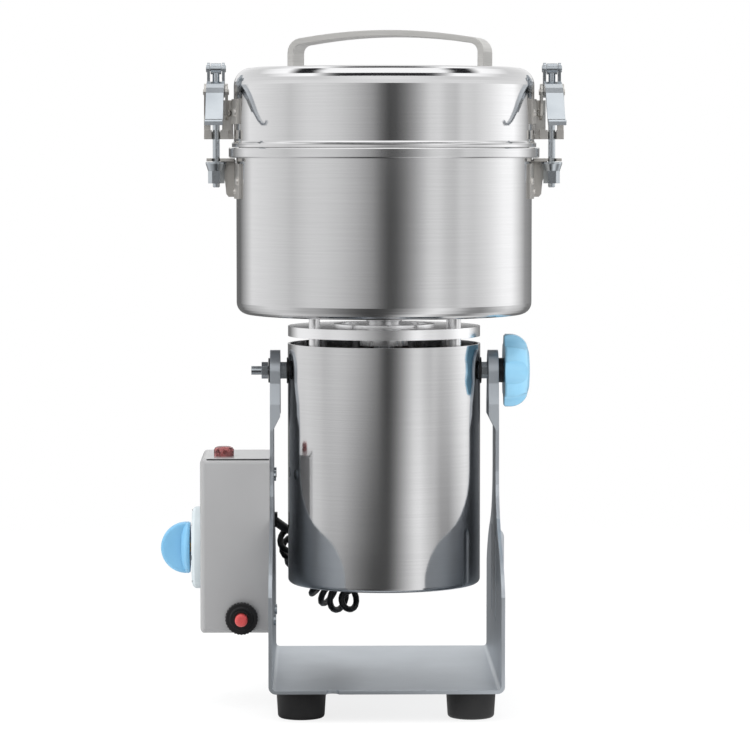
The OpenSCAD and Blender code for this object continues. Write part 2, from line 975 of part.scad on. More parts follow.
// Catch on the bowl: a sleeve piece, a cheek and a slotted shelf for the draw nut.
module bowl_lug(s) {
  on_side(s)
    difference() {
      union() {
        sleeve(shelf_z - 25.5, 24, bowl_r, bowl_r + 1.6, -16, 5.4);
        translate([0, 9.6, 0])
          rotate([90, 0, 0])
            linear_extrude(1.6)
              polygon([
                [bowl_r + 0.6, shelf_z + 1], [bowl_r + 0.6, shelf_z - 24.5],
                [latch_x - 8.2, shelf_z - 24.5], [latch_x - 6.6, shelf_z - 22.5], [latch_x - 5.8, shelf_z - 14],
                [latch_x - 3.4, shelf_z - 6], [latch_x - 2.4, shelf_z + 1]]);
        translate([bowl_r + 1.2, -7, shelf_z])
          cube([latch_x + 6.5 - bowl_r - 1.2, 16.6, 2.1]);
        radial_head(-13.5, bowl_r + 1.5, shelf_z - 13.5, 3, 1.4);
        radial_head(-7.5, bowl_r + 1.5, shelf_z - 20.5, 2.2, 1.2);
      }
      translate([latch_x, 0, shelf_z - 1])
        cylinder(h = 5, r = rod_d / 2 + 0.5, $fn = 48);
      translate([latch_x - rod_d / 2 - 0.5, -20, shelf_z - 1])
        cube([rod_d + 1, 20, 5]);
    }
}

// Flat plate between two X, two Y and two Z values.
module prism_z_plate(x0, x1, y0, y1, z0, z1) {
  translate([x0, y0, z0])
    cube([x1 - x0, y1 - y0, z1 - z0]);
}

module bowl_lug_left() {
  color(steel)
    bowl_lug(-1);
}

module bowl_lug_right() {
  color(steel)
    bowl_lug(1);
}

module shaft() {
  color(steel)
    at_axis() {
      translate([0, 0, low_bearing_z - 3])
        cylinder(h = blade_z2 + 19 - low_bearing_z + 3, r = shaft_d / 2, $fn = 96);
      ring(low_bearing_z + 8, 2, shaft_d / 2 + 2);
      ring(top_bearing_z - 8, 7, shaft_d / 2 + 2);
    }
}

module fan() {
  color(steel)
    at_axis() {
      ring(fan_z, 2, fan_d / 2, shaft_d / 2);
      ring(fan_z + 2, 9, shaft_d / 2 + 4, shaft_d / 2);
      for (i = [0:11])
        rotate([0, 0, i * 30])
          translate([fan_d / 2 - 26, 0, fan_z + 2])
            rotate([0, 0, 24])
              cube([24, 1.4, 9]);
    }
}

module armature() {
  color(dark_steel)
    at_axis()
      difference() {
        union() {
          ring(iron_z, iron_h, armature_d / 2);
          ring(iron_z - 9, 9, armature_d / 2 - 6.5);
          ring(iron_z1, 9, armature_d / 2 - 6.5);
        }
        translate([0, 0, iron_z - 20])
          cylinder(h = iron_h + 40, r = shaft_d / 2, $fn = 96);
        for (i = [0:15])
          rotate([0, 0, i * 22.5])
            translate([armature_d / 2 - 1.5, -1, iron_z - 10])
              cube([4, 2, iron_h + 20]);
      }
}

module commutator() {
  color(copper)
    at_axis()
      difference() {
        ring(commutator_z, 20, commutator_d / 2, shaft_d / 2);
        for (i = [0:23])
          rotate([0, 0, i * 15])
            translate([commutator_d / 2 - 0.6, -0.3, commutator_z - 3])
              cube([2, 0.6, 30]);
      }
}

// Half of a swept blade: straight root, curved leading edge and a raked tip.
module blade_half(l, w) {
  polygon([
    [0, -w / 2], [l * 0.2, -w / 2], [l * 0.36, -w * 0.42], [l / 2, -w * 0.05],
    [l / 2 - 3, w * 0.2], [l * 0.4, w * 0.34], [l * 0.28, w * 0.46], [0, w / 2]]);
}

module blade(z, l, w, turn) {
  translate([0, 0, z])
    rotate([0, 0, turn])
      difference() {
        linear_extrude(blade_t)
          for (i = [0, 1])
            rotate([0, 0, 180 * i])
              blade_half(l, w);
        translate([0, 0, -1])
          cylinder(h = blade_t + 2, r = shaft_d / 2, $fn = 96);
        for (i = [0, 1])
          rotate([0, 0, 180 * i])
            translate([l * 0.33, -w / 2 - 1.5, blade_t])
              rotate([0, 45, 8])
                translate([-2, 0, -1])
                  cube([1.6, 6, 6]);
      }
}

module blade_lower() {
  color(steel)
    at_axis()
      blade(blade_z, blade_l, blade_w, 30);
}

module blade_upper() {
  color(steel)
    at_axis()
      blade(blade_z2, blade_l * 0.8, blade_w, 105);
}

module blade_spacers() {
  color(steel)
    at_axis() {
      ring(bowl_z0 + bowl_wall + 8.6, blade_up - bowl_wall - 8.6, shaft_d / 2 + 4, shaft_d / 2);
      ring(blade_z + blade_t, blade_step - blade_t, shaft_d / 2 + 3, shaft_d / 2);
      ring(blade_z2 + blade_t, 2, shaft_d / 2 + 4, shaft_d / 2);
    }
}

module blade_nut() {
  color(steel)
    at_axis()
      difference() {
        translate([0, 0, blade_z2 + blade_t + 2]) {
          hex(17, 10);
          cylinder(h = 18, r = 7.4, $fn = 96);
        }
        translate([0, 0, blade_z2 - 11])
          cylinder(h = 30, r = shaft_d / 2, $fn = 96);
      }
}

module lid() {
  r = lid_ro;
  w = bowl_wall;
  color(steel)
    at_axis()
      rotate_extrude($fn = 180)
        polygon(concat(
          [[r - w, lid_z0], [r + 1.4, lid_z0]],
          arc(r + 0.4, lid_z0 + 2.2, 1.1, -30, 90, 3),
          [[r, lid_z0 + 4.2]],
          arc(r - lid_r, lid_z1 - lid_r, lid_r, 0, 90, 8),
          [[0, lid_z1], [0, lid_z1 - w]],
          arc(r - lid_r, lid_z1 - lid_r, lid_r - w, 90, 0, 8)));
}

// Inner plate that closes the lid from below.
module lid_liner() {
  color(steel)
    at_axis()
      ring(lid_z0 + 1.4, 1.4, lid_ro - bowl_wall);
}

// Rubber ring that plugs the bowl's mouth.
module lid_gasket() {
  color("#d8d5cc")
    at_axis()
      rotate_extrude($fn = 180)
        polygon([
          [bowl_r - 6, lid_z0 + 1.4],
          [bowl_r - 6, lid_z0 - 4],
          [bowl_r - bowl_wall - 0.9, lid_z0 - 4],
          [bowl_r - bowl_wall - 0.3, lid_z0 - 2],
          [bowl_r - bowl_wall - 0.3, lid_z0 + 1.4]]);
}

// Offsets point i of a line sideways by t.
function side_point(p, i, t) =
  let (
    a = p[max(i - 1, 0)],
    b = p[min(i + 1, len(p) - 1)],
    d = (b - a) / norm(b - a))
  p[i] + t * [-d[1], d[0]];

// Outline of a strip of thickness t whose left side is the line p.
function strip(p, t) = concat(
  p,
  [for (i = [len(p) - 1:-1:0]) side_point(p, i, -t)]);

module handle() {
  half = handle_l / 2;
  crown = lid_z1 + handle_h;
  corner = 10;
  drop = 5;
  crown_r = ((half - corner) * (half - corner) + drop * drop) / (2 * drop);
  crown_a = asin((half - corner) / crown_r);
  line = concat(
    [[-half, lid_z1]],
    arc(-half + corner, crown - drop - corner, corner, 180, 90 + crown_a, 5),
    arc(0, crown - crown_r, crown_r, 90 + crown_a - 1.5, 90 - crown_a + 1.5, 12),
    arc(half - corner, crown - drop - corner, corner, 90 - crown_a, 0, 5),
    [[half, lid_z1]]);
  color(steel)
    at_axis()
      rotate([0, 0, -handle_turn])
        translate([handle_off, handle_w / 2, 0])
          rotate([90, 0, 0])
            linear_extrude(handle_w)
              polygon(strip(line, handle_t));
}

// Latch bracket on the lid: sleeve piece, slotted plate, two ears, guide jaws and stub rivets.
module latch_base(s) {
  px0 = lid_ro + 0.6;
  on_side(s)
    difference() {
      union() {
        sleeve(lever_z - 22, 17, lid_ro, lid_ro + 1.6, -17, 2.8);
        prism_z_plate(px0, latch_x + 8.5, 4.2, 5.8, lever_z - 32.3, lever_z - 5.5);
        for (m = [-1, 1]) {
          prism_x(latch_x + m * 7.2 - 0.9, 1.8, concat(
            [[5.8, lever_z - 19], [5.8, lever_z]],
            arc(0, lever_z, 5.8, 0, 180, 8),
            [[-4.6, lever_z - 8], [-1.5, lever_z - 16], [2, lever_z - 19]]));
          translate([0, 0, lever_z])
            along_x(latch_x + m * 6.4 - 2.5, 5, 2, 48);
        }
        prism_z_plate(latch_x - 8.5, latch_x - 3, -5, 5, lever_z - 32.3, lever_z - 26);
        prism_z_plate(latch_x + 3, latch_x + 8, -5, 5, lever_z - 32.3, lever_z - 26);
        prism_z_plate(lid_ro + 0.4, latch_x - 3, 0, 5, lever_z - 32.3, lever_z - 29);
        radial_head(-14, lid_ro + 1.5, lever_z - 14.3, 3, 1.5);
        translate([lid_ro + 4.3, 4.3, lever_z - 14.3])
          rotate([90, 0, 0])
            screw_head(2.7, 1.7);
      }
      prism_z_plate(latch_x - 4, latch_x + 4, 0, 20, lever_z - 27, lever_z + 80);
    }
}

// Pan head with a cross recess.
module screw_head(r, h) {
  difference() {
    cylinder(h = h, r1 = r, r2 = r * 0.72, $fn = 48);
    for (a = [0, 90])
      rotate([0, 0, a])
        translate([-r * 0.5, -r * 0.12, h * 0.45])
          cube([r, r * 0.24, h]);
  }
}

module latch_base_left() {
  color(dark_steel)
    latch_base(-1);
}

module latch_base_right() {
  color(dark_steel)
    latch_base(1);
}

// Points of the YZ plane moved up to the lever's pivot.
function lift(points) = [for (q = points) [q[0], q[1] + lever_z]];

// Over-centre lever: two cheeks with the rod's eye above the pivot, and a curled finger strap.
module lever(s) {
  line = lift([
    [-5.2, 7.2], [-11, 6.9], [-17, 5.4], [-23.5, 2.6], [-29.5, -1],
    [-36, -7], [-42, -13.6], [-48, -18.8], [-53, -21.4], [-56.4, -21.4], [-58.2, -19.4]]);
  on_side(s) {
    difference() {
      union() {
        for (m = [-1, 1]) {
          translate([0, 0, lever_z])
            along_x(latch_x + m * 5.1 - 0.9, 1.8, 3.8, 48);
          translate([0, 0, eye_z])
            along_x(latch_x + m * 5.1 - 0.9, 1.8, 4.2, 48);
          prism_x(latch_x + m * 5.1 - 0.9, 1.8, [
            [-3.8, lever_z], [3.8, lever_z], [4.2, eye_z], [-4.2, eye_z]]);
          prism_x(latch_x + m * 5.1 - 0.9, 1.8, lift([
            [3, 4.5], [3, -2.2], [-3, -2.8], [-12, -0.4], [-20, -0.6],
            [-29.5, -6], [-38, -14], [-42, -14.4], [-36, -8], [-29.5, -2],
            [-23.5, 1.6], [-17, 4.4], [-11, 5.9], [-4, 7.2], [-2, 9]]));
        }
        prism_x(latch_x - 6, 12, strip([for (i = [len(line) - 1:-1:0]) line[i]], 1.7));
      }
      translate([0, 0, lever_z])
        along_x(latch_x - 10, 20, 2 + fit, 48);
    }
    translate([0, 0, eye_z]) {
      along_x(latch_x - 6.8, 13.6, 1.7, 48);
      for (m = [-1, 1])
        along_x(latch_x + m * 6.3 - 0.5, 1, 2.4, 48);
    }
  }
}

module lever_left() {
  color(steel)
    lever(-1);
}

module lever_right() {
  color(steel)
    lever(1);
}

module draw_rod(s) {
  on_side(s)
    difference() {
      union() {
        translate([latch_x, 0, rod_z0 + 0.6])
          cylinder(h = eye_z - rod_z0 - 3.6, r = rod_d / 2, $fn = 48);
        translate([latch_x, 0, rod_z0])
          cylinder(h = 0.6, r1 = rod_d / 2 - 0.6, r2 = rod_d / 2, $fn = 48);
        translate([0, 0, eye_z])
          along_x(latch_x - 3.6, 7.2, 3.8, 48);
      }
      translate([0, 0, eye_z])
        along_x(latch_x - 6, 12, 1.7 + fit, 48);
    }
}

module draw_rod_left() {
  color(steel)
    draw_rod(-1);
}

module draw_rod_right() {
  color(steel)
    draw_rod(1);
}

// Flange nut that catches under the shelf.
module draw_nut(s) {
  on_side(s)
    translate([latch_x, 0, 0])
      difference() {
        union() {
          translate([0, 0, nut_top - 1.3])
            cylinder(h = 1.3, r = 7.25, $fn = 64);
          translate([0, 0, nut_top - 6])
            cylinder(h = 4.7, r1 = 5.7, r2 = 7.25, $fn = 64);
          translate([0, 0, nut_top - 14.6])
            hex(9.8, 8.7);
        }
        translate([0, 0, nut_top - 22])
          cylinder(h = 30, r = rod_d / 2, $fn = 48);
      }
}

module draw_nut_left() {
  color(steel)
    draw_nut(-1);
}

module draw_nut_right() {
  color(steel)
    draw_nut(1);
}

// Six-lobed knob that clamps the tilt; the lobes are cut by leaning cylinders.
module lock_knob() {
  r = lock_d / 2;
  color(blue)
    at_axis()
      translate([knob_x, 0, pivot_z])
        rotate([0, 90, 0])
          difference() {
            rotate_extrude($fn = 128)
              polygon(concat(
                [[pin_d / 2 + fit, 0], [r - 1, 0], [r, 1], [r, 4.5]],
                arc(r - 12.5, 4.5, 12.5, 8, 62, 7),
                [[13, 17.2], [8, 17.6], [0, 17.6], [0, 13], [pin_d / 2 + fit, 13]]));
            for (i = [0:5])
              rotate([0, 0, i * 60 + 30])
                translate([r + 6.2, 0, -1])
                  rotate([0, -9, 0])
                    cylinder(h = 40, r = 10, $fn = 96);
            translate([0, 0, -1])
              cylinder(h = 3.4, r = 9, $fn = 96);
          }
}

// Curly cord: the centre line of its curls is chosen by hand, the curls come from a formula.
cord_route = [
  cord_from, [-65, 40, 111.5], [-63.5, 48, 105.5], [-61.5, 55, 97.5], [-57, 60, 89], [-51, 61.5, 80.5],
  [-43.5, 58.5, 72], [-35.5, 52, 66], [-28, 43, 64.5], [-23, 34.5, 68.5], cord_to];
cord_sides = 6;
curl_rings = 8;

function spline(p, u) =
  let (
    n = len(p) - 1,
    k = min(floor(u), n - 1),
    t = u - k,
    a = p[max(k - 1, 0)],
    b = p[k],
    c = p[k + 1],
    d = p[min(k + 2, n)])
  0.5 * ((2 * b) + (c - a) * t + (2 * a - 5 * b + 4 * c - d) * t * t + (3 * b - a - 3 * c + d) * t * t * t);

function ramp(t) = let (c = max(0, min(1, t))) c * c * (3 - 2 * c);

// Place along the route, from its straight start to its straight end.
steps = curls * curl_rings;
u_start = 0.85;
u_end = len(cord_route) - 1 - 0.62;

function curl_point(i) =
  let (
    s = i / steps,
    u = u_start + (u_end - u_start) * s,
    c = spline(cord_route, u),
    t = unit(spline(cord_route, u + 0.02) - spline(cord_route, u - 0.02)),
    n = unit(cross(t, [0, 1, 0])),
    b = cross(t, n),
    r = (curl_d - cord_d) / 2 * min(ramp(s * curls / 1.6), ramp((1 - s) * curls / 1.6)),
    a = -360 * curls * s)
  c + r * (n * cos(a) + b * sin(a));

cord_line = concat(
  [cord_from, cord_from + cord_d * unit(cord_route[1] - cord_from)],
  [for (i = [1:steps - 1]) curl_point(i)],
  [cord_to - [0, 0, cord_d], cord_to]);

function line_dir(p, i) = unit(p[min(i + 1, len(p) - 1)] - p[max(i - 1, 0)]);

// Carries one sideways direction along the line, so the tube doesn't twist.
function carry(p, i, v, out) =
  i == len(p) ? out
  : let (
      t = line_dir(p, i),
      w = unit(v - t * (v * t)))
    carry(p, i + 1, w, concat(out, [w]));

function tube_rings(p, r) =
  let (side = carry(p, 0, [0.1, 0.2, 1], []))
  [for (i = [0:len(p) - 1])
    let (
      t = line_dir(p, i),
      n = side[i],
      b = cross(t, n))
    for (k = [0:cord_sides - 1])
      p[i] + r * (n * cos(360 * k / cord_sides) + b * sin(360 * k / cord_sides))];

function tube_faces(rings) = concat(
  [for (i = [0:rings - 2], k = [0:cord_sides - 1])
    each [
      [i * cord_sides + k, (i + 1) * cord_sides + k, (i + 1) * cord_sides + (k + 1) % cord_sides],
      [i * cord_sides + k, (i + 1) * cord_sides + (k + 1) % cord_sides, i * cord_sides + (k + 1) % cord_sides]]],
  [for (k = [1:cord_sides - 2]) [0, k, k + 1]],
  [for (k = [1:cord_sides - 2])
    [(rings - 1) * cord_sides, (rings - 1) * cord_sides + k + 1, (rings - 1) * cord_sides + k]]);

module curly_cord() {
  color(black)
    at_axis()
      polyhedron(points = tube_rings(cord_line, cord_d / 2), faces = tube_faces(len(cord_line)), convexity = 20);
}

// Least gap of the cord to itself, between points more than half a curl apart.
cord_gap = min([for (i = [0:len(cord_line) - 6])
  min([for (j = [i + 5:len(cord_line) - 1]) norm(cord_line[i] - cord_line[j])])]) - cord_d;
echo(cord_gap = cord_gap, cord_points = len(cord_line));

stand();
feet();
foot_screws();
control_box();
box_screws();
dial_plate();
timer_body();
lamp_body();
lamp_lens();
breaker_body();
breaker_ring();
cord_gland();
mains_gland();
terminal_block();
leg_bushes();
housing();
lower_bracket();
bearings();
stator();
field_coils();
brush_holders();
brushes();
top_disc();
posts();
hub();
bowl();
bowl_seal();
pivot_studs();
pivot_nuts();
pivot_spacers();
motor_gland();
bowl_lug_left();
bowl_lug_right();
shaft();
fan();
armature();
commutator();
blade_lower();
blade_upper();
blade_spacers();
blade_nut();
lid();
lid_liner();
lid_gasket();
handle();
latch_base_left();
latch_base_right();
lever_left();
lever_right();
draw_rod_left();
draw_rod_right();
draw_nut_left();
draw_nut_right();
lock_knob();
timer_shaft();
timer_knob();
reset_button();
curly_cord();
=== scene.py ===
"""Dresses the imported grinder: camera, cord, materials and the fine pieces that the solids leave out."""
import bpy
import math
from mathutils import Matrix, Vector
from mathutils.kdtree import KDTree
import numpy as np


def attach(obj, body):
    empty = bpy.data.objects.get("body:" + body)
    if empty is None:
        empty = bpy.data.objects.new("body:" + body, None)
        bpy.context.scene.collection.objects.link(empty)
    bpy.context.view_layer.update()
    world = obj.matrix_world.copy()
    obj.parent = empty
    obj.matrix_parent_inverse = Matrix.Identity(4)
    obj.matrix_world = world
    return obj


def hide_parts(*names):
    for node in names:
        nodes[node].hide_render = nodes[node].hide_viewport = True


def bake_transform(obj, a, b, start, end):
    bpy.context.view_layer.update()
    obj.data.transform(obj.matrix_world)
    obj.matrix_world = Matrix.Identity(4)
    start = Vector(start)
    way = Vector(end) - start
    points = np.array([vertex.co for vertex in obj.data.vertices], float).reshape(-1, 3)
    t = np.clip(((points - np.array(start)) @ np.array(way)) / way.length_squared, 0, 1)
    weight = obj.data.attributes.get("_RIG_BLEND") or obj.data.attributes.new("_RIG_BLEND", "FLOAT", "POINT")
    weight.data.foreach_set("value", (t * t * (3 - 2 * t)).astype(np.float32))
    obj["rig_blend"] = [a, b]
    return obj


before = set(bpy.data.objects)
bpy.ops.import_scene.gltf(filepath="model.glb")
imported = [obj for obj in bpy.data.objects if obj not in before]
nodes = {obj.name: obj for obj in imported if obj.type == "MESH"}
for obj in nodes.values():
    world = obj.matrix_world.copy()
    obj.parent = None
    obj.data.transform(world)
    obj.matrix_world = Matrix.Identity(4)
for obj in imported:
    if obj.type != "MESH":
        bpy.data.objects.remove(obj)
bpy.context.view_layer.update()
MM = 0.001

# Places that repeat the source's driving sizes, in metres.
AXIS_X = 0.015  # the bowl's and the motor's axis, seen from the middle of the whole
LEG_OUT = 0.0787  # from that axis to the left leg's outer face
BOX_OUT = 0.1262  # and to the control box's outer face
BOX_HALF = 0.037  # half of the box's depth
BOX_TOP = 0.1705
DIAL_Z = 0.1056  # the height of the dial's middle
DIAL_THICK = 0.0065

# The camera, fitted from the photograph: about 2.4 m in front, level with the seam between bowl and lid,
# and tilted down a little.
CAMERA_PLACE = (AXIS_X - 0.0428, -2.380, 0.3815)
CAMERA_TILT = 3.76
CAMERA_TURN = -0.88
CAMERA_LENS = 165.6


def add_camera():
    data = bpy.data.cameras.new("photo_camera")
    data.sensor_width = 36.0
    data.lens = CAMERA_LENS
    data.clip_end = 50.0
    camera = bpy.data.objects.new("photo_camera", data)
    camera.location = CAMERA_PLACE
    camera.rotation_euler = (math.radians(90 - CAMERA_TILT), 0.0, math.radians(CAMERA_TURN))
    bpy.context.scene.collection.objects.link(camera)
    bpy.context.scene.camera = camera


add_camera()


# Materials
def srgb(code, alpha=1.0):
    """Linear RGBA of an sRGB hex colour."""
    values = [int(code[i:i + 2], 16) / 255 for i in (1, 3, 5)]
    linear = [v / 12.92 if v <= 0.04045 else ((v + 0.055) / 1.055) ** 2.4 for v in values]
    return (*linear, alpha)


def add_node(tree, kind, inputs=(), links=(), stops=(), **settings):
    """Adds one node with its settings, input values, links from (socket, input) and colour stops."""
    node = tree.nodes.new(kind)
    for name, value in settings.items():
        setattr(node, name, value)
    for name, value in dict(inputs).items():
        node.inputs[name].default_value = value
    for source, name in links:
        tree.links.new(source, node.inputs[name])
    for i, (place, colour) in enumerate(stops):
        stop = node.color_ramp.elements[i] if i < 2 else node.color_ramp.elements.new(place)
        stop.position = place
        stop.color = srgb(colour)
    return node


def new_material(name, **inputs):
    """A material with one Principled shader; returns the material, its tree and the shader."""
    material = bpy.data.materials.new(name)
    material.use_nodes = True
    tree = material.node_tree
    shader = tree.nodes["Principled BSDF"]
    for key, value in inputs.items():
        shader.inputs[key.replace("_", " ")].default_value = value
    return material, tree, shader


def dress(tree, shader, tones, gloss, peaks, edge=0.0):
    """Joins patterns to the shader: tones of colour, an uneven gloss, a raised tooth and rounded edges.

    tones is (pattern, dark's place, dark, light's place, light), gloss is (pattern, least, most roughness), and
    peaks is (pattern, height in metres, strength)."""
    pattern, low, dark, high, light = tones
    tone = add_node(tree, "ShaderNodeValToRGB", links=[(pattern, "Fac")], stops=[(low, dark), (high, light)])
    tree.links.new(tone.outputs["Color"], shader.inputs["Base Color"])
    if gloss:
        pattern, least, most = gloss
        rough = add_node(tree, "ShaderNodeMapRange", {"To Min": least, "To Max": most}, [(pattern, "Value")])
        tree.links.new(rough.outputs[0], shader.inputs["Roughness"])
    pattern, height, strength = peaks
    bump = add_node(tree, "ShaderNodeBump", {"Distance": height, "Strength": strength}, [(pattern, "Height")])
    if edge:
        rounded = add_node(tree, "ShaderNodeBevel", {"Radius": edge}, samples=4)
        tree.links.new(rounded.outputs[0], bump.inputs["Normal"])
    tree.links.new(bump.outputs[0], shader.inputs["Normal"])


def brushed_steel(name, dark, light, roughness, line_mm, run_mm, strength, edge=0.0002):
    """Sheet or bar with a belt-brushed grain: long fine level lines round the form.

    The belt's real lines are about 0.1 mm wide; they are drawn as wide as they need to be to show."""
    material, tree, shader = new_material(name, Metallic=1.0)
    place = add_node(tree, "ShaderNodeTexCoord").outputs["Object"]
    stretch = add_node(
        tree, "ShaderNodeMapping", {"Scale": (1000 / run_mm, 1000 / run_mm, 1000 / line_mm)}, [(place, "Vector")])
    lines = add_node(
        tree, "ShaderNodeTexNoise", {"Scale": 1.0, "Detail": 4.0, "Roughness": 0.6},
        [(stretch.outputs[0], "Vector")]).outputs["Fac"]
    wear = add_node(
        tree, "ShaderNodeTexNoise", {"Scale": 18.0, "Detail": 3.0}, [(place, "Vector")]).outputs["Fac"]
    dress(
        tree, shader, (lines, 0.35, dark, 0.65, light), (wear, roughness * 0.85, roughness * 1.2),
        (lines, 0.00005, strength), edge)
    return material


def plated_metal(name, dark, light, roughness, grain_mm, strength=0.15, edge=0.0004):
    """Plated, turned or pressed metal: an even fine tooth, slightly cloudy colour, rounded edges.

    The real tooth is finer than 0.1 mm; it is drawn as coarse as it needs to be to show."""
    material, tree, shader = new_material(name, Metallic=1.0)
    place = add_node(tree, "ShaderNodeTexCoord").outputs["Object"]
    tooth = add_node(
        tree, "ShaderNodeTexNoise", {"Scale": 1000 / grain_mm, "Detail": 5.0}, [(place, "Vector")]).outputs["Fac"]
    clouds = add_node(
        tree, "ShaderNodeTexNoise", {"Scale": 35.0, "Detail": 3.0}, [(place, "Vector")]).outputs["Fac"]
    dress(
        tree, shader, (clouds, 0.3, dark, 0.7, light), (tooth, roughness * 0.85, roughness * 1.2),
        (tooth, 0.0001, strength), edge)
    return material


def moulded_plastic(name, dark, light, roughness, grain_mm, strength=0.15, coat=0.0, edge=0.0003):
    """Plastic or rubber from a spark-eroded mould: a fine tooth and a faint flow in the colour.

    The real tooth is about 0.1 mm; it is drawn as coarse as it needs to be to show."""
    material, tree, shader = new_material(name, IOR=1.46, Coat_Weight=coat, Coat_Roughness=0.12)
    place = add_node(tree, "ShaderNodeTexCoord").outputs["Object"]
    tooth = add_node(
        tree, "ShaderNodeTexNoise", {"Scale": 1000 / grain_mm, "Detail": 4.0}, [(place, "Vector")]).outputs["Fac"]
    flow = add_node(
        tree, "ShaderNodeTexNoise", {"Scale": 40.0, "Detail": 2.0}, [(place, "Vector")]).outputs["Fac"]
    dress(
        tree, shader, (flow, 0.35, dark, 0.65, light), (tooth, roughness * 0.85, roughness * 1.2),
        (tooth, 0.0001, strength), edge)
    return material


def lens_plastic(name, dark, light):
    """Clear red polycarbonate, injection moulded: light passes, and facets of 2.4 mm are bumped into it. The facets'
    colour, dark red on some and light red on others, is painted glint and shade standing in for their sparkle.
    """
    material, tree, shader = new_material(name, IOR=1.58, Roughness=0.08, Transmission_Weight=0.35)
    place = add_node(tree, "ShaderNodeTexCoord").outputs["Object"]
    # The facets' dark and light red is painted glint and shade; their bump is real.
    glint_facets = add_node(tree, "ShaderNodeTexVoronoi", {"Scale": 420.0}, [(place, "Vector")])
    dress(
        tree, shader, (glint_facets.outputs["Color"], 0.2, dark, 0.8, light), None,
        (glint_facets.outputs["Distance"], 0.0006, 0.5))
    return material


def powder_coat(name, dark, light, roughness):
    """Powder coat baked on sheet steel: an orange peel of about 1.1 mm under a soft gloss."""
    material, tree, shader = new_material(name, IOR=1.5, Coat_Weight=0.7, Coat_Roughness=0.2)
    place = add_node(tree, "ShaderNodeTexCoord").outputs["Object"]
    peel = add_node(
        tree, "ShaderNodeTexNoise", {"Scale": 900.0, "Detail": 2.0}, [(place, "Vector")]).outputs["Fac"]
    clouds = add_node(
        tree, "ShaderNodeTexNoise", {"Scale": 14.0, "Detail": 2.0}, [(place, "Vector")]).outputs["Fac"]
    dress(
        tree, shader, (clouds, 0.3, dark, 0.7, light), (peel, roughness * 0.9, roughness * 1.15),
        (peel, 0.0001, 0.12))
    return material


